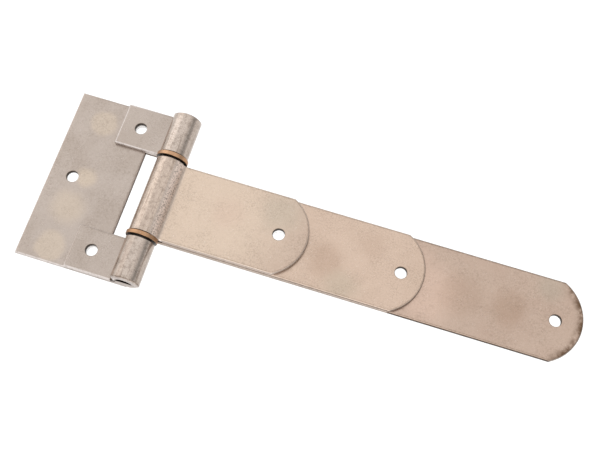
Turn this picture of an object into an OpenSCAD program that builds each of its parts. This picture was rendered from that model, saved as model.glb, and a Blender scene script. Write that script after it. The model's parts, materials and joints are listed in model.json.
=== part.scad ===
// T hinge: a slotted plate leaf and a layered strap leaf that turn on one pin.
// X runs along the strap, Y along the pin and Z out of the front face.
// Both leaves are flat on the plane z = 0 at their back when the hinge lies open.
// The origin is the middle of the plate leaf's back face. The modules below draw
// about the pin's axis, and from_pin() moves what they draw into that frame.

/* [Sheet and pin] */
// Thickness of the steel sheet that both leaves are folded from
sheet_t = 3; // [2:0.5:4]
// Diameter of the hinge pin
pin_d = 11; // [9:0.5:13]
// Radial clearance between the pin and whatever turns on it
running_gap = 0.06; // [0.02:0.01:0.1]

/* [Strap leaf] */
// Distance from the pin's axis to the tip of the strap
strap_reach = 250; // [200:1:400]
// Width of the strap
strap_w = 47; // [36:1:48]
// Distance from the pin's axis to the end of the middle layer
middle_reach = 158.5; // [130:0.5:170]
// Distance from the pin's axis to the end of the top layer
top_reach = 90; // [75:0.5:105]
// Radius of the arc that ends each layer
end_r = 26.5; // [24:0.5:40]
// Hollow bend radius where the top layer leaves the knuckle
neck_r = 3; // [1:0.5:5]

/* [Plate leaf] */
// Height of the plate, along the pin
plate_h = 106; // [100:1:140]
// Distance from the pin's axis to the plate's outer edge
plate_reach = 67; // [55:1:90]
// Distance from the pin's axis to the edge of the slot
slot_edge = 18; // [14:0.5:24]
// Distance from the pin's axis to the free edge of each folded tab
tab_reach = 37; // [32:0.5:44]

/* [Screw holes] */
// Diameter of the six screw holes
screw_d = 7; // [4:0.5:8]
// Centre of the outer plate hole, from the plate's outer edge
plate_inset = 13.8; // [10:0.1:18]
// Centre of each tab hole, from the tab's free edge
tab_inset = 11.9; // [9:0.1:14]
// Centre of each tab hole, from the end of the plate
tab_hole_rise = 13.3; // [11:0.1:15]
// Centre of the hole nearest the pin, from the end of the top layer
top_inset = 17; // [12:0.5:20]
// Centre of the middle hole, from the end of the middle layer
middle_inset = 13.5; // [12:0.5:20]
// Centre of the last hole, from the tip of the strap
tip_inset = 15.5; // [12:0.5:20]

/* [Washers] */
// Outside diameter of the two washers
washer_d = 18.8; // [17:0.2:22]
// Thickness of each washer
washer_t = 2.4; // [1:0.2:3]
// End play on the upper side of the upper washer and of the lower washer
near_play = 0.2; // [0.1:0.1:0.5]
// End play on the lower side of each washer
far_play = 0.9; // [0.3:0.1:1]

/* [Knuckle ends] */
// Depth of the lip that keeps the pin in, at each end of the plate's knuckles
lip_t = 2; // [1:0.5:4]
// Diameter of the opening that the lip leaves
lip_d = 8.6; // [5:0.2:8.8]
// Play between each end of the pin and the lip
pin_end_play = 0.3; // [0.1:0.1:1]
// Bevel on each end of the pin
pin_bevel = 0.8; // [0.2:0.1:1.5]

/* [Hidden] */
$fn = 128;
cut = 1; // how far a cutting shape runs past the surface it cuts

pin_r = pin_d / 2;
screw_r = screw_d / 2;
strap_bore_r = pin_r + running_gap;
knuckle_r = strap_bore_r + sheet_t;
axis_x = plate_reach / 2;
axis_z = knuckle_r;

// Heights of the front faces of one, two and three layers of sheet
two_layers = 2 * sheet_t;
three_layers = 3 * sheet_t;

// The strap's knuckle and both washers sit in the window between the ears
washer_space = near_play + washer_t + far_play;
ear_start = strap_w / 2 + washer_space;
plate_end = plate_h / 2;
ear_w = plate_end - ear_start;

// The top layer leaves the knuckle in a hollow arc that touches both
neck_rise = three_layers + neck_r - axis_z;
neck_angle = asin(neck_rise / (knuckle_r + neck_r));
neck_x = (knuckle_r + neck_r) * cos(neck_angle);

// Each ear ends in a sharp crease where its tab folds back over the plate
crease_drop = axis_z - two_layers;
crease_angle = asin(crease_drop / knuckle_r);
crease_x = -knuckle_r * cos(crease_angle);

// The stiffener starts where the layers above and below it become flat
stiffener_start = neck_x;

// Holes through the strap, by distance from the pin's axis
top_hole_x = top_reach - top_inset;
middle_hole_x = middle_reach - middle_inset;
tip_hole_x = strap_reach - tip_inset;
strap_holes = [top_hole_x, middle_hole_x, tip_hole_x];

// Moves what is drawn with the pin's axis at x = 0 into the hinge's frame
module from_pin() {
    translate([axis_x, 0, 0])
        children();
}

// Part of a tube along Y about the line through (x, z). It starts straight
// below that line and turns through the sweep, first towards +X, or towards
// -X where the sweep is negative.
module curl(x, z, r_in, r_out, sweep, y_from, y_to) {
    translate([x, y_to, z])
        rotate([90, 0, 0])
            rotate([0, 0, -90])
                rotate_extrude(angle = sweep)
                    translate([r_in, 0])
                        square([r_out - r_in, y_to - y_from]);
}

// Solid round bar along Y about the pin's axis
module bar(r, y_from, y_to) {
    translate([0, y_to, axis_z])
        rotate([90, 0, 0])
            cylinder(r = r, h = y_to - y_from);
}

// Tube along Y about the pin's axis
module ring(r_in, r_out, y_from, y_to) {
    difference() {
        bar(r_out, y_from, y_to);
        bar(r_in, y_from - cut, y_to + cut);
    }
}

// One straight hole through every layer at (x, y)
module screw_hole(x, y) {
    translate([x, y, -cut])
        cylinder(r = screw_r, h = three_layers + 2 * cut);
}

// Outline of one strap layer that ends in an arc
module strap_outline(start, reach) {
    arc_x = reach - end_r;
    translate([start, -strap_w / 2])
        square([arc_x - start, strap_w]);
    intersection() {
        translate([arc_x, 0])
            circle(r = end_r);
        translate([arc_x, -strap_w / 2])
            square([end_r, strap_w]);
    }
}

// One flat strap layer with its back at height z
module strap_layer(start, reach, z) {
    difference() {
        translate([0, 0, z])
            linear_extrude(height = sheet_t)
                strap_outline(start, reach);
        for (x = strap_holes)
            screw_hole(x, 0);
    }
}

// Long back layer, curled once over the pin and brought forward as the top layer
module strap_leaf() {
    half = strap_w / 2;
    color("#d3bcab")
        from_pin()
            union() {
                strap_layer(0, strap_reach, 0);
                curl(0, axis_z, strap_bore_r, knuckle_r, neck_angle - 270, -half, half);
                curl(neck_x, three_layers + neck_r, neck_r, neck_r + sheet_t,
                     neck_angle - 90, -half, half);
                strap_layer(neck_x, top_reach, two_layers);
            }
}

// Separate sheet held between the back and top layers of the strap
module strap_stiffener() {
    color("#ceb9a9")
        from_pin()
            strap_layer(stiffener_start, middle_reach, sheet_t);
}

// One ear: curled over the pin, creased, and laid back on the plate as a tab
module ear(y_from, y_to) {
    curl(0, axis_z, pin_r, knuckle_r, 270 + crease_angle, y_from, y_to);
    curl(crease_x, two_layers, 0, knuckle_r - pin_r, 90 + crease_angle, y_from, y_to);
    translate([-tab_reach, y_from, sheet_t])
        cube([tab_reach + crease_x, y_to - y_from, sheet_t]);
}

// Slotted plate with an ear at each end and a pin-keeping lip in each outer mouth
module plate_leaf() {
    ears = [[ear_start, plate_end], [-plate_end, -ear_start]];
    lips = [[plate_end - lip_t, plate_end], [-plate_end, lip_t - plate_end]];
    tab_hole_x = tab_inset - tab_reach;
    tab_hole_y = plate_end - tab_hole_rise;
    lip_outer_r = knuckle_r - sheet_t / 4;
    color("#c3b4a8")
        from_pin()
            difference() {
                union() {
                    translate([-plate_reach, -plate_end, 0])
                        cube([plate_reach - slot_edge, plate_h, sheet_t]);
                    for (span = ears) {
                        translate([-slot_edge, span[0], 0])
                            cube([slot_edge, span[1] - span[0], sheet_t]);
                        ear(span[0], span[1]);
                    }
                    for (span = lips)
                        ring(lip_d / 2, lip_outer_r, span[0], span[1]);
                }
                screw_hole(plate_inset - plate_reach, 0);
                for (side = [-1, 1])
                    screw_hole(tab_hole_x, side * tab_hole_y);
            }
}

// Pin with a bevel on each end, gripped by the ears and kept in by the lips
module hinge_pin() {
    pin_end = plate_end - lip_t - pin_end_play;
    pin_l = 2 * pin_end;
    color("#b5aaa2")
        from_pin()
            translate([0, pin_end, axis_z])
                rotate([90, 0, 0])
                    rotate_extrude()
                        polygon([
                            [0, 0],
                            [pin_r - pin_bevel, 0],
                            [pin_r, pin_bevel],
                            [pin_r, pin_l - pin_bevel],
                            [pin_r - pin_bevel, pin_l],
                            [0, pin_l]
                        ]);
}

// Loose flat washer whose lower face is at y
module washer(y) {
    color("#d2966e")
        from_pin()
            ring(strap_bore_r, washer_d / 2, y, y + washer_t);
}

module upper_washer() {
    washer(ear_start - near_play - washer_t);
}

module lower_washer() {
    washer(-strap_w / 2 - near_play - washer_t);
}

plate_leaf();
strap_leaf();
strap_stiffener();
hinge_pin();
upper_washer();
lower_washer();
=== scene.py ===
"""T hinge in bare satin steel: a slotted plate leaf, a layered strap leaf, a pin and two loose washers.

Every folded sheet is made as it is in the shop: a flat blank with rounded edges and drilled holes
is cut out, then bent round the pin. All sizes are measured off the frame. Units are metres.
"""

import json
import math
from collections import namedtuple

import bmesh
import bpy
from mathutils import Matrix, Vector
from mathutils.geometry import tessellate_polygon


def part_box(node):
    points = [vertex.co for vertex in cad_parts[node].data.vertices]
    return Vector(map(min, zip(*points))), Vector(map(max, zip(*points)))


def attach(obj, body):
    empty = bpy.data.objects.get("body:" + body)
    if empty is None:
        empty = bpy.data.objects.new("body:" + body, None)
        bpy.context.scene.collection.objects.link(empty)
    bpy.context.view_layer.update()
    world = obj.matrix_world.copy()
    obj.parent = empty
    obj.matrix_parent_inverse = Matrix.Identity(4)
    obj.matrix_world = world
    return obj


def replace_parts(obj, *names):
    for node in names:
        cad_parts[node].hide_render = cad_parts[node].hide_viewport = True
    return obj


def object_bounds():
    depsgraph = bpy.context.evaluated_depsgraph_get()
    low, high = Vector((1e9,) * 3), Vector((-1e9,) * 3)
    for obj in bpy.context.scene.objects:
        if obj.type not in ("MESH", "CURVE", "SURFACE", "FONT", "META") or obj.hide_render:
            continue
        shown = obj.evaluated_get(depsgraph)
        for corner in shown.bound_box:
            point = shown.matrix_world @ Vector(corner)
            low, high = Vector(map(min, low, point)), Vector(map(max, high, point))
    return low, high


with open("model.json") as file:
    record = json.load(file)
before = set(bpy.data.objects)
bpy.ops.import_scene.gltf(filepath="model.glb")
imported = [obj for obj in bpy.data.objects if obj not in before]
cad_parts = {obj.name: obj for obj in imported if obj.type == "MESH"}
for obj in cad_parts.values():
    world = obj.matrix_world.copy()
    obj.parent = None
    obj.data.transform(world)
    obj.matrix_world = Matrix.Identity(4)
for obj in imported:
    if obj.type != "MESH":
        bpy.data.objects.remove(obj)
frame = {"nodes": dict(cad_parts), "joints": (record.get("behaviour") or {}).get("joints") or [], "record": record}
cad_low, cad_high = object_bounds()

MM = 0.001

# The sheared, drilled and turned edges.
EDGE = 0.35 * MM          # rounding of a washer's edge, and the slack when an edge is looked for
ROLL = 0.9 * MM           # how far in from a sheared edge the sheet's face rolls over
ROLL_DROP = 0.6 * MM      # how far the face drops there
HOLE_EDGE = 0.2 * MM      # rounding of a drilled edge
EDGE_STEPS = 4            # facets across one rounded edge
BORDER = 0.5 * MM         # width of the dark line inside a sheared edge
ROLLED = ROLL + BORDER + EDGE     # a vertex nearer than this to an edge belongs to the edge
TIGHT = 0.45              # how much narrower the rolled edge is on the barrels' inner ends
HAMMERED = 1.2 * MM       # how much further the barrels' outer ends are beaten in
NICK = 1 * MM             # from a corner or an edge's paint to the extra point that ends it
NEARLY = 0.9              # a vertex layer above this counts as full

# The bends.
FLAT = 0.01 * MM          # a bend starts only past this length
CREASE_R = 0.25 * MM      # hollow radius of the sharp crease behind each ear
BEND_STEP = math.radians(4)
ARC_STEP = math.radians(3)
SMOOTH_ANGLE = math.radians(38)
LATHE_SIDES = 128

# Dirt, painted shade and painted sheen, from 0 to 1, painted on the vertices.
SIDE_FADE = 1.6           # how fast the paint of a side fades where the face rolls over
HOLE_SHADE_SPREAD = 1.5         # how much further a hole's painted shade reaches there
HOLE_SHADE = 0.95              # painted shade on the wall of a hole at the top of a stack
SEAM_SHARE = 0.12         # share of the half thickness painted dark as shade where two sheets meet
SEAM_GAP = 0.5 * MM       # over which that painted shade fades beyond the end of the upper sheet
CREASE_SHADE = 0.8 * MM    # over which the painted shade fades on both sides of a crease
STACKED_DIRT = 0.34       # on the back layer's sides, under the middle and top layers
PAIRED_DIRT = 0.36        # on its sides under the middle layer alone
BARE_DIRT = 0.85          # on its sides beyond the middle layer
TIP_DIRT = 0.35           # on the arc at its far end
MIDDLE_DIRT = 0.45        # on the middle layer's sides
TOP_DIRT = 0.3            # on the top layer's sides
SLOT_DIRT_AND_SHADE = 0.7           # on the slot's long side: dirt and painted shade
UNDER_TAB_DIRT = 0.3      # on the plate's sides under the tabs
NEAR_DIRT = 0.2           # on the plate's side that faces the camera
TAB_SEAM_SHADE = 0.4       # painted shade in the seam under the upper tab's lit edges
NECK_SHEEN_SHARE = 0.75         # how much paler the strap is painted where it leaves its knuckle: a painted sheen over the shade of that hollow
TIP_WEAR = 6 * MM         # width of the dark wear inside the strap's far end

# How strong the dark line inside a sheared edge is.
BACK_BORDER = 0.4         # on the back layer
BARE_BORDER = 0.7         # on its long sides beyond the middle layer
KNUCKLE_BORDER = 0.5      # round the strap's knuckle and neck
UPPER_BORDER = 0.6        # on the middle and top layers
PLATE_BORDER = 0.55       # on the plate
EAR_BORDER = 1.8          # how much stronger it is at the ears' outer ends

# Dark streaks painted along the barrels, partly dirt and partly painted dark reflections: strength, angle round
# the pin, and half width, in degrees.
CROWN_STREAK = (0.15, 184, 9)         # on the strap's knuckle
SIDE_STREAK = (0.25, 88, 16)          # on the ears, where they turn away on the right: partly dirt, partly a painted dark reflection
SHOULDER_STREAK = (0.2, 153, 13)      # on the ears, between their crown and that side: partly dirt, partly a painted dark reflection
LOWER_STREAK = (0.3, 204, 30)         # on the lower ear, left of its crown, darkening it where a highlight falls

# Where the strap's knuckle starts to take its painted sheen and where it takes it fully, as angles round the pin.
SHEEN_FROM, SHEEN_TO = math.radians(208), math.radians(222)

# Of these vertex layers, the third carries dirt and painted shade, and the fifth painted highlights and sheen.
LAYER_ORDER = ("rim", "depth", "grime", "curl", "polish", "border")
Layers = namedtuple("Layers", LAYER_ORDER)


# ---------------------------------------------------------------- sizes from the frame

def vertices(node):
    """A CAD node's vertices at rest."""
    return [v.co for v in frame["nodes"][node].data.vertices]


def mount(name):
    """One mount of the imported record."""
    return next(m for m in frame["record"]["mounts"] if m["name"] == name)


class Sizes:
    """The hinge's driving sizes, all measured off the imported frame."""

    def __init__(self):
        swing = next(j for j in frame["joints"] if j["name"] == "strap_swing")
        self.axis_x, _, self.axis_z = swing["pos_m"]
        self.sheet = mount("plate_screw_outer")["dims"]["length_mm"] * MM
        self.hole_r = mount("plate_screw_outer")["dims"]["r_mm"] * MM
        self.knuckle_r = self.axis_z

        strap = vertices("strap_leaf")
        self.strap_half = max(v.y for v in strap)
        self.strap_tip = max(v.x for v in strap)
        self.top_tip = max(v.x for v in strap if v.z > 2.5 * self.sheet)
        corner = max(v.x for v in strap if v.y > self.strap_half - 0.01 * MM)
        self.end_depth = self.strap_tip - corner
        self.end_r = (self.strap_half ** 2 + self.end_depth ** 2) / (2 * self.end_depth)
        middle_low, middle_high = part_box("strap_stiffener")
        self.middle_start, self.middle_tip = middle_low.x, middle_high.x
        self.strap_bore = min(self.radius(v) for v in strap)

        plate = vertices("plate_leaf")
        self.plate_end = max(v.y for v in plate)
        self.plate_edge = min(v.x for v in plate)
        self.tab_edge = min(v.x for v in plate if v.z > 1.5 * self.sheet)
        self.ear_start = min(abs(v.y) for v in plate if v.z > self.axis_z)
        self.slot_edge = min(v.x for v in plate if v.z < 0.01 * MM
                             and abs(abs(v.y) - self.ear_start) < 0.01 * MM)
        mouth = [v for v in plate if v.y > self.plate_end - 0.01 * MM]
        self.lip_r = min(self.radius(v) for v in mouth)
        self.lip_start = min(abs(v.y) for v in plate if self.radius(v) < self.lip_r + 0.1 * MM)
        pin_low, pin_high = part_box("hinge_pin")
        self.pin_r = (pin_high.x - pin_low.x) / 2
        self.pin_end = pin_high.y

    def radius(self, point):
        """Distance of a point from the pin's axis."""
        return math.hypot(point.x - self.axis_x, point.z - self.axis_z)


S = Sizes()


# ---------------------------------------------------------------- outlines of flat blanks

def arc(centre, radius, start, end):
    """Points on a circular arc, both ends included, from one angle to another."""
    steps = max(2, math.ceil(abs(end - start) / ARC_STEP))
    turns = [start + (end - start) * i / steps for i in range(steps + 1)]
    return [Vector((centre[0] + radius * math.cos(a), centre[1] + radius * math.sin(a))) for a in turns]


def hole(x, y, radius):
    """A round hole as a clockwise loop, so that the sheet is on its left.

    Each starts at its own angle, so that no corners of three holes share a line.
    """
    start = x / radius
    return arc((x, y), radius, start + 2 * math.pi, start)[:-1]


def inset(loop, distance):
    """The loop moved towards the sheet, which is on its left, with mitred corners."""
    moved = []
    for i, here in enumerate(loop):
        arriving = (here - loop[i - 1]).normalized()
        leaving = (loop[(i + 1) % len(loop)] - here).normalized()
        before = Vector((-arriving.y, arriving.x))
        after = Vector((-leaving.y, leaving.x))
        middle = (before + after).normalized()
        moved.append(here + middle * (distance / middle.dot(before)))
    return moved


def new_mesh():
    """An empty bmesh with the vertex layers that the metals read."""
    mesh = bmesh.new()
    for name in LAYER_ORDER:
        mesh.verts.layers.float.new(name)
    return mesh


def layers_of(mesh):
    """The vertex layers of a mesh that came from new_mesh."""
    return Layers(*(mesh.verts.layers.float[n] for n in LAYER_ORDER))


def rounded_levels():
    """(border, margin, inward share, rise share) for each ring of a blank, up one side of the sheet.

    The first ring is the far side of the dark line, and the last is the top of the rounded edge.
    """
    levels = [(0, BORDER, 1, 0)]
    for i in range(EDGE_STEPS + 1):
        share = i / EDGE_STEPS
        turn = share * math.pi / 2
        inward = 1 - (math.sin(turn) + share) / 2
        levels.append((inward, 0, inward, (1 - math.cos(turn) + share) / 2))
    return levels


def close_sides(mesh, rings):
    """Joins each loop of a ring to the same loop of the next ring."""
    for lower, upper in zip(rings, rings[1:]):
        for low, high in zip(lower, upper):
            for i in range(len(low)):
                j = (i + 1) % len(low)
                mesh.faces.new((low[i], low[j], high[j], high[i]))


def close_face(mesh, ring, flipped):
    """Fills the flat face that a ring of loops leaves open."""
    flat = [v for loop in ring for v in loop]
    for triangle in tessellate_polygon([[v.co for v in loop] for loop in ring]):
        corners = [flat[i] for i in triangle]
        normal = (corners[1].co - corners[0].co).cross(corners[2].co - corners[0].co)
        if (normal.z > 0) == flipped:
            corners.reverse()
        mesh.faces.new(corners)


def blank(outline, shaded_holes=(), highlit_holes=()):
    """A flat sheet as a closed bmesh in the XY plane, with rounded edges and round holes.

    The walls of the holes that are the top of a stack are painted dark as shade, and those below
    are painted near white as a highlight. The vertex layer "rim" is 1 on the sides and 0 on the
    faces, "border" is 1 on the line where the face starts to roll over, and "depth" runs from -1
    to 1 through the sheet.
    """
    half = S.sheet / 2
    mesh = new_mesh()
    layers = layers_of(mesh)
    loops = [(outline, ROLL, ROLL_DROP, 0, 0)]
    # Holes at the top of a stack take painted shade on their walls, and the holes below take a painted highlight.
    loops += [(hole(x, y, S.hole_r), HOLE_EDGE, HOLE_EDGE, HOLE_SHADE, 0) for x, y in shaded_holes]
    loops += [(hole(x, y, S.hole_r), HOLE_EDGE, HOLE_EDGE, 0, 1) for x, y in highlit_holes]
    rising = [(side, *level) for side, levels in ((-1, rounded_levels()), (1, rounded_levels()[::-1]))
              for level in levels]
    rings = []
    for side, edging, margin, inward, rise in rising:
        rings.append([])
        for loop, roll, drop, wall_shade, wall_sheen in loops:
            steep = max(0, 1 - SIDE_FADE * inward)
            made = []
            for p in inset(loop, inward * roll + margin):
                v = mesh.verts.new((p.x, p.y, side * (half - rise * drop)))
                v[layers.rim] = steep
                v[layers.depth] = v.co.z / half
                # The painted shade and painted highlight of a hole's wall, reaching a little onto its rounded
                # edge.
                v[layers.grime] = wall_shade * min(1, HOLE_SHADE_SPREAD * steep)
                v[layers.polish] = wall_sheen * steep
                v[layers.border] = edging
                made.append(v)
            rings[-1].append(made)
    close_sides(mesh, rings)
    close_face(mesh, rings[0], True)
    close_face(mesh, rings[-1], False)
    return mesh


def slice_across(mesh, stations):
    """Cuts the blank along lines across it, so that it can bend there."""
    for x in stations:
        bmesh.ops.bisect_plane(mesh, geom=mesh.verts[:] + mesh.edges[:] + mesh.faces[:],
                               dist=1e-7, plane_co=(x, 0, 0), plane_no=(1, 0, 0))


def stations(start, length, radius):
    """Evenly spread cutting places along a bend of that length and radius."""
    steps = math.ceil(length / radius / BEND_STEP)
    return [start + length * i / steps for i in range(steps + 1)]


# ---------------------------------------------------------------- meshes and objects

def to_object(name, mesh, body, material):
    """Turns a bmesh into a shaded piece that rides on a body."""
    bmesh.ops.recalc_face_normals(mesh, faces=mesh.faces)
    data = bpy.data.meshes.new(name)
    mesh.to_mesh(data)
    mesh.free()
    data.shade_smooth()
    data.set_sharp_from_angle(angle=SMOOTH_ANGLE)
    piece = bpy.data.objects.new(name, data)
    bpy.context.scene.collection.objects.link(piece)
    weighted = piece.modifiers.new("face normals", "WEIGHTED_NORMAL")
    weighted.keep_sharp = True
    data.materials.append(material)
    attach(piece, body)
    return piece


def loft(mesh, loops, paint=None):
    """Joins closed loops of equal length in turn, and the last to the first.

    paint gives each loop's values for some vertex layers.
    """
    rings = []
    for k, loop in enumerate(loops):
        ring = [mesh.verts.new(p) for p in loop]
        for name, value in (paint[k] if paint else {}).items():
            for v in ring:
                v[mesh.verts.layers.float[name]] = value
        rings.append(ring)
    for k, ring in enumerate(rings):
        following = rings[(k + 1) % len(rings)]
        for i in range(len(ring)):
            j = (i + 1) % len(ring)
            mesh.faces.new((ring[i], ring[j], following[j], following[i]))


def circle(radius, y):
    """A circle about the pin's axis at that place along it."""
    turns = [2 * math.pi * k / LATHE_SIDES for k in range(LATHE_SIDES)]
    return [(S.axis_x + radius * math.cos(a), y, S.axis_z + radius * math.sin(a)) for a in turns]


def lathe(mesh, profile, paint=None):
    """Turns a closed (radius, y) profile about the pin's axis and adds it to the mesh."""
    loft(mesh, [circle(radius, y) for radius, y in profile], paint)


def rounded_rectangle(r_in, r_out, y_from, y_to, edge):
    """A closed (radius, y) profile of a ring with rounded corners."""
    corners = [((r_in + edge, y_from + edge), math.pi), ((r_out - edge, y_from + edge), 1.5 * math.pi),
               ((r_out - edge, y_to - edge), 0), ((r_in + edge, y_to - edge), 0.5 * math.pi)]
    points = []
    for (r, y), start in corners:
        for i in range(EDGE_STEPS + 1):
            a = start + i / EDGE_STEPS * math.pi / 2
            points.append((r + edge * math.cos(a), y + edge * math.sin(a)))
    return points


# ---------------------------------------------------------------- the sheets, bent

def tightened(offset, amount=1.0):
    """A distance in from a barrel's inner end, shortened where the edge rolls over."""
    return offset * (1 - amount * (1 - TIGHT)) if offset < ROLLED else offset


def streak(turn, strength, centre, half_width):
    """A dark streak painted along a barrel, at full strength on one line and fading to both sides."""
    return strength * max(0, 1 - abs(math.degrees(turn) - centre) / half_width)


def on_roll(v, layers):
    """Whether a vertex is where the face rolls over, between the dark line and the side."""
    return 0 < v[layers.border] < NEARLY


def end_outline(start, tip, half):
    """One strap layer from a straight end to a tip that is an arc, anticlockwise."""
    centre = tip - S.end_r
    swing = math.asin(half / S.end_r)
    return [Vector((start, -half)), *arc((centre, 0), S.end_r, -swing, swing), Vector((start, half))]


def strap_holes():
    """X of the strap's holes, nearest first."""
    return [mount(n)["pos_m"][0] for n in ("strap_screw_near", "strap_screw_middle", "strap_screw_tip")]


def neck_radius():
    """The hollow radius where the strap's top layer leaves its knuckle."""
    flat = min(v.x for v in vertices("strap_leaf")
               if abs(v.z - 3 * S.sheet) < 0.01 * MM and v.x > S.axis_x)
    run = flat - S.axis_x
    rise = 3 * S.sheet - S.axis_z
    return (run ** 2 + rise ** 2 - S.knuckle_r ** 2) / (2 * (S.knuckle_r - rise))


class StrapBends:
    """The strap's bends and layers, measured from the pin's line along the flat blank."""

    def __init__(self):
        self.neck_r = neck_radius()
        rise = 3 * S.sheet + self.neck_r - S.axis_z
        self.neck_angle = math.asin(rise / (S.knuckle_r + self.neck_r))
        self.neck_x = (S.knuckle_r + self.neck_r) * math.cos(self.neck_angle)
        self.neck_line = self.neck_r + S.sheet / 2
        self.curl_r = (S.strap_bore + S.knuckle_r) / 2
        self.curl_end = self.curl_r * (1.5 * math.pi - self.neck_angle)
        self.neck_end = self.curl_end + self.neck_line * (math.pi / 2 - self.neck_angle)
        self.reach = S.strap_tip - S.axis_x
        self.corner = self.reach - S.end_depth + SEAM_GAP
        self.stacked = S.top_tip - S.axis_x - S.end_depth - SEAM_GAP
        self.covered = S.middle_tip - S.axis_x - S.end_depth - SEAM_GAP


def strap_blank(bends):
    """The strap's flat blank, sliced where it bends: the back layer has negative X."""
    top = S.top_tip - S.axis_x - bends.neck_x
    near, middle, tip = [x - S.axis_x for x in strap_holes()]
    back = [Vector((-p.x, -p.y)) for p in end_outline(0, bends.reach, S.strap_half)[1:-1]]
    front = [p + Vector((bends.neck_end, 0)) for p in end_outline(0, top, S.strap_half)[1:-1]]
    mesh = blank(back + front, shaded_holes=((-tip, 0), (bends.neck_end + near - bends.neck_x, 0)),
                 highlit_holes=((-middle, 0), (-near, 0)))
    slice_across(mesh, stations(0, bends.curl_end, bends.curl_r)
                 + stations(bends.curl_end, bends.neck_end - bends.curl_end, bends.neck_line)[1:]
                 + [-bends.stacked, -bends.stacked - SEAM_GAP, -bends.covered, -bends.covered - SEAM_GAP])
    return mesh


def lay_strap_back(v, layers, bends):
    """Paints and places a vertex of the strap's back layer."""
    x = -v.co.x
    if x < bends.stacked + SEAM_GAP / 2:
        dirt = STACKED_DIRT
    elif x < bends.covered + SEAM_GAP / 2:
        dirt = PAIRED_DIRT
    elif x < bends.corner:
        dirt = BARE_DIRT
    else:
        dirt = TIP_DIRT
    v[layers.grime] = max(v[layers.grime], dirt * (v[layers.rim] - v[layers.polish]))
    v[layers.border] *= BARE_BORDER if bends.covered < x < bends.corner else BACK_BORDER
    # Painted shade in the seam under the middle layer.
    if v[layers.depth] > 1 - SEAM_SHARE and x < bends.covered + SEAM_GAP / 2:
        v[layers.grime] = 1 - v[layers.polish]
    return x, v.co.y, S.sheet / 2 + v.co.z


def roll_strap_knuckle(v, layers, bends):
    """Paints and places a vertex of the strap's knuckle."""
    turn = v.co.x / bends.curl_r
    r = bends.curl_r - v.co.z
    v[layers.curl] = 1
    # A painted highlight: the rolled edge at the knuckle's upper end takes the pale side colour.
    if v.co.y > 0 and on_roll(v, layers):
        v[layers.rim] = 1
    v[layers.border] *= KNUCKLE_BORDER
    # Painted sheen: the knuckle is painted paler as it turns into the neck.
    v[layers.polish] = NECK_SHEEN_SHARE * min(1, max(0, (turn - SHEEN_FROM) / (SHEEN_TO - SHEEN_FROM)))
    v[layers.grime] = streak(turn, *CROWN_STREAK)
    aside = S.strap_half - abs(v.co.y)
    across = math.copysign(S.strap_half - tightened(aside), v.co.y)
    return -r * math.sin(turn), across, S.axis_z - r * math.cos(turn)


def roll_strap_neck(v, layers, bends):
    """Paints and places a vertex of the hollow bend from the knuckle to the top layer."""
    along = v.co.x
    turn = math.pi + bends.neck_angle + (along - bends.curl_end) / bends.neck_line
    r = bends.neck_line + v.co.z
    v[layers.curl] = (bends.neck_end - along) / (bends.neck_end - bends.curl_end)
    # Painted sheen over the shade of the neck's hollow, fading out towards the top layer.
    v[layers.polish] = NECK_SHEEN_SHARE * v[layers.curl]
    v[layers.border] *= KNUCKLE_BORDER
    aside = S.strap_half - abs(v.co.y)
    across = math.copysign(S.strap_half - tightened(aside, v[layers.curl]), v.co.y)
    return (bends.neck_x + r * math.cos(turn), across,
            3 * S.sheet + bends.neck_r + r * math.sin(turn))


def lay_strap_top(v, layers, bends):
    """Paints and places a vertex of the strap's top layer."""
    v[layers.border] *= UPPER_BORDER
    v[layers.grime] = max(v[layers.grime], TOP_DIRT * v[layers.rim])
    # Painted shade in the seam on the middle layer.
    if v[layers.depth] > 1 - SEAM_SHARE:
        v[layers.grime] = 1
    return bends.neck_x + v.co.x - bends.neck_end, v.co.y, 2.5 * S.sheet - v.co.z


def make_strap_leaf(material):
    """The strap's back layer, curled over the pin and brought forward as its top layer."""
    bends = StrapBends()
    mesh = strap_blank(bends)
    layers = layers_of(mesh)
    for v in mesh.verts:
        if v.co.x <= FLAT:
            put = lay_strap_back
        elif v.co.x <= bends.curl_end:
            put = roll_strap_knuckle
        elif v.co.x <= bends.neck_end:
            put = roll_strap_neck
        else:
            put = lay_strap_top
        x, across, z = put(v, layers, bends)
        v.co = (S.axis_x + x, across, z)
    return to_object("strap_sheet", mesh, "strap", material)


def make_stiffener(material):
    """The loose sheet between the strap's back and top layers."""
    outline = end_outline(S.middle_start, S.middle_tip, S.strap_half)
    near, middle, _ = strap_holes()
    mesh = blank(outline, shaded_holes=((middle, 0),), highlit_holes=((near, 0),))
    layers = layers_of(mesh)
    covered = S.top_tip - S.end_depth - SEAM_GAP
    slice_across(mesh, [covered, covered + SEAM_GAP])
    seam = 1 - SEAM_SHARE
    for v in mesh.verts:
        depth = v[layers.depth]
        v[layers.grime] = max(v[layers.grime], MIDDLE_DIRT * (v[layers.rim] - v[layers.polish]))
        v[layers.border] *= UPPER_BORDER
        # Painted shade in the seams on the back layer and under the top layer.
        if depth < -seam or (depth > seam and v.co.x < covered + SEAM_GAP / 2):
            v[layers.grime] = 1 - v[layers.polish]
        v.co.z += 1.5 * S.sheet
    return to_object("strap_middle_sheet", mesh, "strap", material)


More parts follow.
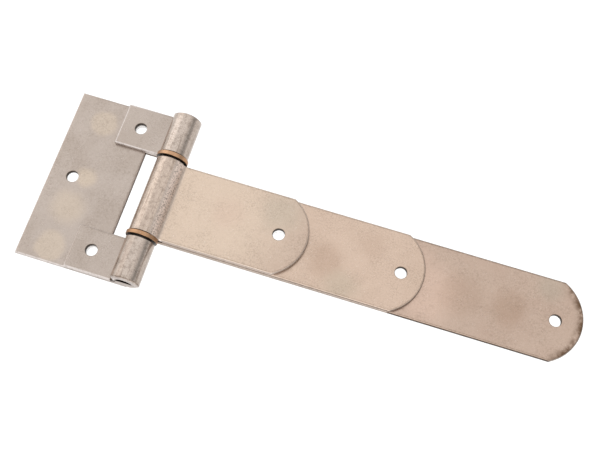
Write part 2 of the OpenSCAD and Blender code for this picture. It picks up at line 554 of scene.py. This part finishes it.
class PlateBends:
    """The bends of the plate's ears, measured from the pin's line along the flat blank."""

    def __init__(self):
        drop = S.axis_z - 2 * S.sheet - CREASE_R
        self.crease_angle = math.asin(drop / (S.knuckle_r + CREASE_R))
        self.crease_x = -(S.knuckle_r + CREASE_R) * math.cos(self.crease_angle)
        self.crease_z = 2 * S.sheet + CREASE_R
        self.crease_line = CREASE_R + S.sheet / 2
        self.curl_r = (S.pin_r + S.knuckle_r) / 2
        self.curl_end = self.curl_r * (1.5 * math.pi + self.crease_angle)
        self.crease_end = self.curl_end + self.crease_line * (math.pi / 2 + self.crease_angle)
        self.tab_end = self.crease_end + self.crease_x + S.axis_x - S.tab_edge
        self.slot = S.slot_edge - S.axis_x
        self.tab = S.tab_edge - S.axis_x


def plate_outline(bends):
    """The plate's blank with both ears straight, anticlockwise.

    The extra points near some corners keep the paint of one edge from running along the next.
    """
    left, end, ear = S.plate_edge - S.axis_x, S.plate_end, S.ear_start
    slot, tab_end = bends.slot, bends.tab_end
    fade = ROLLED + NICK - end
    return [Vector(p) for p in (
        (left, fade), (left, -end), (tab_end, -end), (tab_end, fade), (tab_end, -ear),
        (slot + NICK, -ear), (slot, -ear), (slot, ear), (slot + NICK, ear), (tab_end, ear),
        (tab_end, end), (left, end))]


def plate_blank(bends):
    """The plate's flat blank, sliced where it bends."""
    outer = Vector(mount("plate_screw_outer")["pos_m"])
    upper = Vector(mount("plate_screw_upper")["pos_m"])
    ear_x = upper.x - S.axis_x
    tab_x = bends.crease_end + bends.crease_x - ear_x
    mesh = blank(plate_outline(bends),
                 shaded_holes=((outer.x - S.axis_x, 0), (tab_x, -upper.y), (tab_x, upper.y)),
                 highlit_holes=((ear_x, -upper.y), (ear_x, upper.y)))
    slice_across(mesh, stations(0, bends.curl_end, bends.curl_r)
                 + stations(bends.curl_end, bends.crease_end - bends.curl_end, bends.crease_line)[1:]
                 + [bends.curl_end - CREASE_SHADE, bends.crease_end + CREASE_SHADE,
                    bends.tab - SEAM_GAP, bends.tab])
    return mesh


def lit_edges(v, bends):
    """Whether a vertex is on the edge that faces the camera, and on a lit edge of the upper tab; both take a
    painted highlight.
    """
    along, across = v.co.x, v.co.y
    on_tab = along > bends.crease_end + FLAT
    near = across < ROLLED - S.plate_end and (along <= FLAT or on_tab)
    upper = on_tab and across > 0 and (along > bends.tab_end - ROLLED or across < S.ear_start + ROLLED)
    return near, upper


def lay_plate(v, layers, bends, side, near):
    """Paints and places a vertex of the plate's flat part."""
    along, across = v.co.x, abs(v.co.y)
    # The slot's long side is darkened with dirt and painted shade.
    if abs(along - bends.slot) < ROLLED and across < S.ear_start + EDGE:
        v[layers.grime] = SLOT_DIRT_AND_SHADE if side else 0
        v[layers.border] = 0
    elif along > bends.tab - SEAM_GAP / 2 and across > S.ear_start + EDGE:
        v[layers.grime] = UNDER_TAB_DIRT * v[layers.rim]
    elif side and near:
        v[layers.grime] = NEAR_DIRT
    return along, v.co.y, S.sheet / 2 + v.co.z


def curl_ear(v, layers, bends):
    """Paints and places a vertex of an ear where it turns round the pin."""
    along, across, inward = v.co
    turn = along / bends.curl_r
    beaten = max(0, 1 - (S.plate_end - abs(across)) / ROLL) if inward < 0 else 0
    r = bends.curl_r - inward - beaten * HAMMERED
    v[layers.curl] = 1
    # Dark streaks along the ears, partly painted dark reflections, and painted shade fading into the crease.
    v[layers.grime] = max(streak(turn, *SIDE_STREAK), streak(turn, *SHOULDER_STREAK),
                          streak(turn, *LOWER_STREAK) if across < 0 else 0,
                          1 - (bends.curl_end - along) / CREASE_SHADE)
    inner = abs(across) - S.ear_start
    if inner >= ROLLED:
        v[layers.border] *= EAR_BORDER
    across = math.copysign(S.ear_start + tightened(inner), across)
    return r * math.sin(turn), across, S.axis_z - r * math.cos(turn)


def fold_crease(v, layers, bends):
    """Paints and places a vertex of the sharp crease behind an ear."""
    turn = bends.crease_angle - (v.co.x - bends.curl_end) / bends.crease_line
    r = bends.crease_line + v.co.z
    # Painted shade all through the crease.
    v[layers.grime] = 1
    return bends.crease_x + r * math.cos(turn), v.co.y, bends.crease_z + r * math.sin(turn)


def lay_tab(v, layers, bends, upper):
    """Paints and places a vertex of a tab, folded back on the plate."""
    # Painted shade in the seam where the tab lies on the plate, lighter under the upper tab's lit edges.
    if v[layers.depth] > 1 - SEAM_SHARE:
        v[layers.grime] = TAB_SEAM_SHADE if upper else 1
    return bends.crease_x - (v.co.x - bends.crease_end), v.co.y, 1.5 * S.sheet - v.co.z


def make_plate_leaf(material):
    """The slotted plate, with both ears curled over the pin and folded back as tabs."""
    bends = PlateBends()
    mesh = plate_blank(bends)
    layers = layers_of(mesh)
    for v in mesh.verts:
        side = v[layers.rim] > NEARLY
        near, upper = lit_edges(v, bends)
        # On these lit edges the rolled face takes the pale side colour as a painted highlight, with no dark line.
        if near or upper:
            if on_roll(v, layers):
                v[layers.rim] = 1
            v[layers.border] = 0
        v[layers.border] *= PLATE_BORDER
        if v.co.x <= FLAT:
            x, across, z = lay_plate(v, layers, bends, side, near)
        elif v.co.x <= bends.curl_end:
            x, across, z = curl_ear(v, layers, bends)
        elif v.co.x <= bends.crease_end + FLAT:
            x, across, z = fold_crease(v, layers, bends)
        else:
            x, across, z = lay_tab(v, layers, bends, upper)
        v.co = (S.axis_x + x, across, z)
    add_lips(mesh)
    return to_object("plate_sheet", mesh, "plate", material)


def crescent(y):
    """The mouth that is left in a barrel's end once it has been hammered in over the pin."""
    middle_x, low_z, half_width, top, bottom = (v * MM for v in (-0.7, -2.1, 4.9, 5.2, 0.5))
    points = []
    for k in range(LATHE_SIDES):
        a = 2 * math.pi * k / LATHE_SIDES
        rise = top if math.sin(a) > 0 else bottom
        points.append((S.axis_x + middle_x + half_width * math.cos(a), y,
                       S.axis_z + low_z + rise * abs(math.sin(a))))
    return points


def add_lips(mesh):
    """The hammered ends that keep the pin in, one at each outer end of the ears."""
    skin = 0.01 * MM
    dish = 0.3 * MM
    reach = S.knuckle_r - S.sheet / 2
    # The lip's face takes most of the pale side colour and a little painted shade, its mouth's edge a little more,
    # and the mouth inside is painted fully dark as shade.
    ring, mouth_edge, inside = {"rim": 0.7, "grime": 0.18}, {"rim": 0.7, "grime": 0.28}, {"grime": 1}
    for side in (-1, 1):
        face, back = side * (S.plate_end - skin), side * S.lip_start
        mouth = side * (S.plate_end - dish)
        loops = [circle(reach, back), circle(reach, face), crescent(mouth), crescent(mouth - side * dish),
                 crescent(back)]
        loft(mesh, loops, [{}, ring, mouth_edge, inside, inside])


def make_pin(material):
    """The pin, with a bevelled and slightly domed end at both ends."""
    bevel = 0.8 * MM
    dome = 0.25 * MM
    centre_r = 0.2 * MM
    flank = [(S.pin_r, y) for y in (-S.pin_end + bevel, S.pin_end - bevel)]
    mesh = new_mesh()
    profile = [(centre_r, -S.pin_end), (S.pin_r - bevel, dome - S.pin_end), *flank,
               (S.pin_r - bevel, S.pin_end - dome), (centre_r, S.pin_end)]
    lathe(mesh, profile)
    return to_object("pin_bar", mesh, "plate", material)


def make_washer(node, material):
    """One loose washer with rounded edges."""
    low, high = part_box(node)
    mesh = new_mesh()
    outer = (high.x - low.x) / 2
    profile = rounded_rectangle(S.strap_bore, outer, low.y, high.y, EDGE)
    # Its sides and bore are painted dark as shade of the gaps round it, fading out over the rounding to its outer
    # edge.
    lathe(mesh, profile, [{"grime": min(1, (outer - r) / EDGE)} for r, _ in profile])
    return to_object(node + "_ring", mesh, node, material)


# ---------------------------------------------------------------- materials

def add(tree, kind, inputs=(), **settings):
    """Adds one node, sets its properties, and fills its inputs with values or with other sockets."""
    node = tree.nodes.new(kind)
    for name, value in settings.items():
        setattr(node, name, value)
    for name, value in dict(inputs).items():
        socket = node.inputs[name]
        if isinstance(value, bpy.types.NodeSocket):
            tree.links.new(value, socket)
        else:
            socket.default_value = value
    return node


def srgb(red, green, blue):
    """A linear colour with alpha, from eight-bit display values."""
    def linear(c):
        c /= 255
        return c / 12.92 if c <= 0.04045 else ((c + 0.055) / 1.055) ** 2.4
    return (linear(red), linear(green), linear(blue), 1.0)


def noise(tree, place, scale, detail=3.0, roughness=0.5, distortion=0.0):
    """The height of a noise texture, about 0.5 on average."""
    node = add(tree, "ShaderNodeTexNoise", {"Vector": place, "Scale": scale, "Detail": detail,
                                           "Roughness": roughness, "Distortion": distortion})
    return node.outputs["Fac"]


def band(tree, value, low, high):
    """A value spread so that low becomes 0 and high becomes 1, held between them."""
    node = add(tree, "ShaderNodeMapRange", {"Value": value, "From Min": low, "From Max": high},
               interpolation_type="SMOOTHSTEP")
    return node.outputs["Result"]


def times(tree, a, b):
    """The product of two values."""
    return add(tree, "ShaderNodeMath", {0: a, 1: b}, operation="MULTIPLY").outputs[0]


def plus(tree, a, b):
    """The sum of two values, held between 0 and 1."""
    return add(tree, "ShaderNodeMath", {0: a, 1: b}, operation="ADD", use_clamp=True).outputs[0]


def minus(tree, a, b, held=False):
    """The difference of two values, which can be held between 0 and 1."""
    return add(tree, "ShaderNodeMath", {0: a, 1: b}, operation="SUBTRACT", use_clamp=held).outputs[0]


def tint(tree, colour, other, amount):
    """One colour moved towards another by an amount from 0 to 1."""
    node = add(tree, "ShaderNodeMix", data_type="RGBA")
    for name, value in (("A_Color", colour), ("B_Color", other), ("Factor_Float", amount)):
        socket = next(s for s in node.inputs if s.identifier == name)
        if isinstance(value, bpy.types.NodeSocket):
            tree.links.new(value, socket)
        else:
            socket.default_value = value
    return next(s for s in node.outputs if s.identifier == "Result_Color")


def stretched(tree, place, scale):
    """Coordinates stretched by a scale for each axis."""
    return add(tree, "ShaderNodeMapping", {"Vector": place, "Scale": scale}).outputs["Vector"]


def attribute(tree, name):
    """A vertex layer of the piece."""
    return add(tree, "ShaderNodeAttribute", attribute_name=name).outputs["Fac"]


def wandering(tree, place, scale, reach):
    """Coordinates pushed about by noise, so that a stain's edge isn't a circle."""
    push = add(tree, "ShaderNodeTexNoise", {"Vector": place, "Scale": scale, "Detail": 4.0})
    centred = add(tree, "ShaderNodeVectorMath", {0: push.outputs["Color"], 1: (0.5, 0.5, 0.5)},
                  operation="SUBTRACT")
    scaled = add(tree, "ShaderNodeVectorMath", {0: centred.outputs["Vector"], "Scale": reach},
                 operation="SCALE")
    return add(tree, "ShaderNodeVectorMath", {0: place, 1: scaled.outputs["Vector"]},
               operation="ADD").outputs["Vector"]


def stain(tree, place, x, y, radius, core):
    """How much of a round stain lies at a place, full within that share of its radius; in millimetres."""
    flat = stretched(tree, place, (1, 1, 0))
    away = add(tree, "ShaderNodeVectorMath", {0: flat, 1: (x * MM, y * MM, 0)}, operation="DISTANCE")
    return band(tree, away.outputs["Value"], radius * MM, core * radius * MM)


# Below: the near black of full dirt and painted shade, the near white of painted highlights and glints, dark soot
# for grain and marks, the pale paint of the strap neck's sheen, and the brown of rust, of dirt and of lighter
# painted shade.
DARK_DIRT_AND_SHADE = srgb(58, 48, 40)
HIGHLIGHT = srgb(250, 249, 248)
SOOT = srgb(104, 88, 74)
NECK_SHEEN = srgb(248, 233, 223)
RUST_AND_SHADE = srgb(92, 70, 52)

# Noise patterns: scale, detail, roughness and distortion, then the heights they fade in between.
CLOUDS = (45, 5, 0.6, 0.4), (0.4, 0.66)          # slow changes of tone
GRAIN = (1150, 3, 0.75), (0.42, 0.68)            # fine dark grain
GRAIN_PATCHES = (70, 3, 0.6), (0.35, 0.65)       # where that grain is stronger
GLINTS = (1700, 2, 0.6), (0.62, 0.75)            # tiny painted glints
SCUFFS = (620, 4, 0.65), (0.5, 0.72)             # dark scratches along the barrels
BARREL_SPOTS = (420, 4, 0.7), (0.45, 0.62)       # dark spots on the barrels
TIP_PATCHES = (190, 5, 0.75), (0.32, 0.62)       # wear at the strap's far end
EDGE_SPOTS = (650, 4, 0.75), (0.3, 0.62)         # dark spots in the line inside a sheared edge
SHEAR_MARKS = (900, 3, 0.6), (0.5, 0.7)          # upright marks on the sheared sides
PITS = (1100, 3, 0.7), (0.46, 0.62)              # fine dark pits on the strap's neck
ROUGH_PATCHES = (300, 4, 0.6)                    # slow changes of roughness
STAIN_WANDER = (90, 6 * MM)                      # scale and reach of what frays the stains

# How much of each pattern or tone is laid on the metal.
GRAIN_LEAST, GRAIN_MORE = 0.1, 0.22
GLINT_TONE = 0.25
SCUFF_TONE = 0.6
BARREL_TONE = 0.3
EDGE_TONE = 0.85
RIM_TONE = 0.85
SHEAR_TONE = 0.35
PIT_TONE = 0.85

# The range of the roughness, and what each part adds to it or takes off.
ROUGHNESS = (0.25, 0.38)
BARREL_SMOOTHER = 0.1
NECK_ROUGHER = 0.6
DRILLED_SMOOTHER = 0.25
RIM_ROUGHER = 0.2


def speckle(tree, place, pattern):
    """A noise pattern as patches that go from 0 to 1."""
    texture, fade = pattern
    return band(tree, noise(tree, place, *texture), *fade)


def worn_tip(tree, place):
    """How near a place is to the arc at the strap's far end, patchily."""
    centre = S.strap_tip - S.end_r
    flat = stretched(tree, place, (1, 1, 0))
    away = add(tree, "ShaderNodeVectorMath", {0: flat, 1: (centre, 0, 0)}, operation="DISTANCE")
    near = band(tree, away.outputs["Value"], S.end_r - TIP_WEAR, S.end_r - ROLL / 2)
    along = add(tree, "ShaderNodeSeparateXYZ", {0: place}).outputs["X"]
    ahead = band(tree, along, centre + 0.3 * S.end_r, centre + 0.7 * S.end_r)
    return times(tree, times(tree, near, ahead), speckle(tree, place, TIP_PATCHES))


def stained(tree, place, colour, stains):
    """A colour with blurred stains, each given as (x, y, radius, core, colour, amount)."""
    blurred = wandering(tree, place, *STAIN_WANDER)
    for x, y, radius, core, stain_colour, amount in stains:
        spread = stain(tree, blurred, x, y, radius, core)
        colour = tint(tree, colour, stain_colour, times(tree, spread, amount))
    return colour


def grained(tree, place, colour, grain):
    """A colour with fine dark grain, stronger in patches, and tiny painted glints."""
    patchy = times(tree, speckle(tree, place, GRAIN_PATCHES), GRAIN_MORE)
    coarse = plus(tree, patchy, GRAIN_LEAST)
    dark = times(tree, band(tree, grain, *GRAIN[1]), coarse)
    colour = tint(tree, colour, SOOT, dark)
    return tint(tree, colour, HIGHLIGHT, times(tree, speckle(tree, place, GLINTS), GLINT_TONE))


def edged(tree, place, colour, layers, side_and_highlight_colour):
    """A colour with the dark line inside the sheared edges, and with their paler sides, partly the cut metal's own
    colour and partly a painted highlight.
    """
    line = band(tree, layers.border, 0.15, 1.0)
    spots = times(tree, speckle(tree, place, EDGE_SPOTS), line)
    colour = tint(tree, colour, RUST_AND_SHADE, times(tree, spots, EDGE_TONE))
    colour = tint(tree, colour, side_and_highlight_colour, times(tree, layers.rim, RIM_TONE))
    marks = times(tree, speckle(tree, stretched(tree, place, (1, 1, 0.15)), SHEAR_MARKS), layers.rim)
    return tint(tree, colour, SOOT, times(tree, marks, SHEAR_TONE))


def sheened(tree, place, colour, drilled, neck):
    """A colour with painted highlights on the walls of the lower holes, and with the strap's neck painted paler as
    a sheen, with fine dark pits.
    """
    colour = tint(tree, colour, HIGHLIGHT, drilled)
    colour = tint(tree, colour, NECK_SHEEN, neck)
    pits = times(tree, speckle(tree, place, PITS), neck)
    return tint(tree, colour, SOOT, times(tree, pits, PIT_TONE))


def roughness_of(tree, place, layers, drilled, neck):
    """The metal's roughness: smoother on the barrels and in drilled holes, rougher on sheared sides."""
    patches = add(tree, "ShaderNodeMapRange",
                  {"Value": noise(tree, place, *ROUGH_PATCHES), "From Min": 0.3, "From Max": 0.7,
                   "To Min": ROUGHNESS[0], "To Max": ROUGHNESS[1]}).outputs["Result"]
    rough = minus(tree, patches, times(tree, layers.curl, BARREL_SMOOTHER))
    rough = plus(tree, rough, times(tree, neck, NECK_ROUGHER))
    rough = minus(tree, rough, times(tree, drilled, DRILLED_SMOOTHER), held=True)
    return plus(tree, rough, times(tree, layers.rim, RIM_ROUGHER))


def metal(name, base, cloud, side_and_highlight_colour, stains=(), tone=0.5, bend_colour=SOOT, bend=0.0, worn=False):
    """Satin metal with clouds of tone, stains, fine grain, scuffed barrels and sheared sides, and with the dirt,
    painted shade and painted highlights that the vertex layers carry.
    """
    material = bpy.data.materials.new(name)
    material.use_nodes = True
    tree = material.node_tree
    shader = next(n for n in tree.nodes if n.type == "BSDF_PRINCIPLED")
    place = add(tree, "ShaderNodeTexCoord").outputs["Object"]
    layers = Layers(*(attribute(tree, n) for n in LAYER_ORDER))
    grain = noise(tree, place, *GRAIN[0])
    scratches = times(tree, speckle(tree, stretched(tree, place, (1, 0.06, 1)), SCUFFS), layers.curl)
    # drilled marks the walls of the lower holes, painted near white as a highlight; neck marks the strap's neck
    # and knuckle end, painted paler as a sheen.
    drilled = minus(tree, layers.polish, layers.curl, held=True)
    neck = times(tree, layers.polish, layers.curl)

    colour = tint(tree, base, cloud, times(tree, speckle(tree, place, CLOUDS), tone))
    colour = stained(tree, place, colour, stains)
    colour = tint(tree, colour, bend_colour, times(tree, layers.curl, bend))
    colour = grained(tree, place, colour, grain)
    colour = tint(tree, colour, SOOT, times(tree, scratches, SCUFF_TONE))
    spots = times(tree, speckle(tree, place, BARREL_SPOTS), layers.curl)
    colour = tint(tree, colour, SOOT, times(tree, spots, BARREL_TONE))
    if worn:
        colour = tint(tree, colour, RUST_AND_SHADE, worn_tip(tree, place))
    colour = edged(tree, place, colour, layers, side_and_highlight_colour)
    colour = sheened(tree, place, colour, drilled, neck)
    # Dirt and painted shade from the vertex layer: brown at first, near black where it is full.
    colour = tint(tree, colour, RUST_AND_SHADE, band(tree, layers.grime, 0.0, 0.7))
    colour = tint(tree, colour, DARK_DIRT_AND_SHADE, band(tree, layers.grime, 0.5, 1.0))
    tree.links.new(colour, shader.inputs["Base Color"])
    shader.inputs["Metallic"].default_value = 1.0

    tree.links.new(roughness_of(tree, place, layers, drilled, neck), shader.inputs["Roughness"])
    bump = add(tree, "ShaderNodeBump", {"Height": minus(tree, grain, scratches), "Strength": 0.3,
                                        "Distance": 0.04 * MM})
    tree.links.new(bump.outputs["Normal"], shader.inputs["Normal"])
    return material


def plate_steel():
    """Greyish bare steel with warm heat blotches."""
    warm = srgb(189, 174, 158)
    return metal("plate_steel", srgb(175, 163, 154), srgb(164, 151, 141), srgb(206, 198, 194),
                 stains=((-14.4, 37.5, 10, 0.6, warm, 0.75), (-15.8, -43.6, 10.5, 0.65, warm, 0.75),
                         (-12, 1.5, 8, 0.4, warm, 0.9), (-15.5, -18.5, 14, 0.3, warm, 0.7)), tone=0.7,
                 bend_colour=srgb(195, 181, 170), bend=0.7)


def strap_steel():
    """Warm pinkish steel, with a broad paler area painted by the pin as light, and browner towards the tip."""
    pink, brown, grey = srgb(196, 171, 155), srgb(150, 122, 102), srgb(182, 169, 153)
    dull = srgb(168, 155, 140)
    return metal("strap_steel", srgb(180, 159, 144), srgb(172, 149, 134), srgb(212, 200, 191),
                 # The first stain is painted light: a broad paler area by the pin where the light is brighter; the
                 # rest are stains.
                 stains=((60, 0, 80, 0.25, srgb(204, 185, 167), 0.9), (104, 13, 17, 0.25, grey, 0.6),
                         (75, 4, 14, 0.2, pink, 0.35), (194, -6, 27, 0.3, pink, 0.85),
                         (186, 14, 12, 0.2, pink, 0.4), (215, -1, 19, 0.25, brown, 0.25),
                         (241, -1, 15, 0.3, brown, 0.4), (262, 18, 12, 0.2, dull, 0.6)),
                 bend_colour=srgb(186, 170, 158), bend=0.8, worn=True)


def stiffener_steel():
    """Warm steel like the strap's, with a brown patch."""
    brown, grey = srgb(168, 142, 124), srgb(176, 164, 146)
    return metal("stiffener_steel", srgb(196, 174, 157), srgb(186, 164, 147), srgb(202, 188, 178),
                 stains=((136, -6, 15, 0.25, brown, 0.45), (159, 10, 12, 0.2, brown, 0.25),
                         (148, -19, 15, 0.2, grey, 0.45)))


# ---------------------------------------------------------------- the scene around it

def make_floor():
    """A plain pale floor, low enough for the strap to swing right down above it."""
    half = 4.0
    drop = 0.27
    pale = (0.93, 0.93, 0.93, 1)
    mesh = bmesh.new()
    bmesh.ops.create_grid(mesh, x_segments=1, y_segments=1, size=half)
    data = bpy.data.meshes.new("floor")
    mesh.to_mesh(data)
    mesh.free()
    floor = bpy.data.objects.new("floor", data)
    floor.location = ((cad_low.x + cad_high.x) / 2, 0, cad_low.z - drop)
    bpy.context.scene.collection.objects.link(floor)
    paint = bpy.data.materials.new("floor_paint")
    paint.use_nodes = True
    shader = next(n for n in paint.node_tree.nodes if n.type == "BSDF_PRINCIPLED")
    shader.inputs["Base Color"].default_value = pale
    shader.inputs["Roughness"].default_value = 0.9
    data.materials.append(paint)


def aim(obj, target):
    """Turns an object so that its -Z points at the target."""
    obj.rotation_euler = (Vector(target) - obj.location).to_track_quat("-Z", "Y").to_euler()


def make_light(name, offset, size, power, centre):
    """One soft square light."""
    data = bpy.data.lights.new(name, "AREA")
    data.size = size
    data.energy = power
    light = bpy.data.objects.new(name, data)
    light.location = centre + Vector(offset)
    aim(light, centre)
    bpy.context.scene.collection.objects.link(light)


def make_world():
    """A pale surround with a darker band low down all round it, deepest on the right."""
    band_height, lean = 0.36, -0.25
    darkest_at, ends_at = -0.25, 0.35
    darkest, brightest = 0.45, 1.3
    world = bpy.data.worlds.new("surround")
    bpy.context.scene.world = world
    world.use_nodes = True
    tree = world.node_tree
    way = add(tree, "ShaderNodeSeparateXYZ", {0: add(tree, "ShaderNodeTexCoord").outputs["Generated"]})
    above = minus(tree, way.outputs["Z"], band_height)
    distance = add(tree, "ShaderNodeMath", {0: above}, operation="ABSOLUTE").outputs[0]
    leaning = times(tree, way.outputs["X"], lean)
    clear = add(tree, "ShaderNodeMath", {0: distance, 1: leaning}, operation="ADD").outputs[0]
    glow = add(tree, "ShaderNodeMapRange", {"Value": clear, "From Min": darkest_at, "From Max": ends_at,
                                            "To Min": darkest, "To Max": brightest},
               interpolation_type="SMOOTHSTEP")
    background = next(n for n in tree.nodes if n.type == "BACKGROUND")
    background.inputs["Color"].default_value = (1.0, 1.0, 1.0, 1)
    tree.links.new(glow.outputs["Result"], background.inputs["Strength"])


def make_lights(centre):
    """Two large soft lights, one on the left and one low in front."""
    make_light("key", (-1.0, 0.4, 0.6), size=0.9, power=1.3, centre=centre)
    make_light("front", (0.1, -1.2, 0.45), size=0.7, power=4.0, centre=centre)


def make_camera(centre):
    """The camera, above the front of the hinge and a little to its right."""
    azimuth, elevation, roll = (math.radians(a) for a in (14.8, 70.07, 2.62))
    distance, lens = 0.539, 56.13
    target = centre + Vector((-0.00846, 0.00871, -centre.z))
    back = Vector((math.sin(azimuth) * math.cos(elevation), -math.cos(azimuth) * math.cos(elevation),
                   math.sin(elevation)))
    right = Vector((math.cos(azimuth), math.sin(azimuth), 0))
    up = back.cross(right)
    turned_right = right * math.cos(roll) + up * math.sin(roll)
    turned_up = up * math.cos(roll) - right * math.sin(roll)
    camera = bpy.data.objects.new("camera", bpy.data.cameras.new("camera"))
    camera.data.sensor_width = 36
    camera.data.lens = lens
    camera.data.clip_start = 0.01
    axes = Matrix((turned_right, turned_up, back)).transposed()
    camera.matrix_world = Matrix.Translation(target + back * distance) @ axes.to_4x4()
    bpy.context.scene.collection.objects.link(camera)
    bpy.context.scene.camera = camera


# ---------------------------------------------------------------- build

def build():
    """Makes every piece and the scene round it."""
    plate, strap, middle = plate_steel(), strap_steel(), stiffener_steel()
    pin = metal("pin_steel", srgb(150, 142, 136), srgb(132, 122, 114), srgb(170, 160, 150))
    brass = metal("washer_copper", srgb(182, 144, 112), srgb(160, 118, 84), srgb(200, 168, 120))

    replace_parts(make_plate_leaf(plate), "plate_leaf")
    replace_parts(make_strap_leaf(strap), "strap_leaf")
    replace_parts(make_stiffener(middle), "strap_stiffener")
    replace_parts(make_pin(pin), "hinge_pin")
    for node in ("upper_washer", "lower_washer"):
        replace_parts(make_washer(node, brass), node)

    centre = (cad_low + cad_high) / 2
    make_floor()
    make_world()
    make_lights(centre)
    make_camera(centre)
    view = bpy.context.scene.view_settings
    view.view_transform = "Standard"
    view.look = "None"


build()
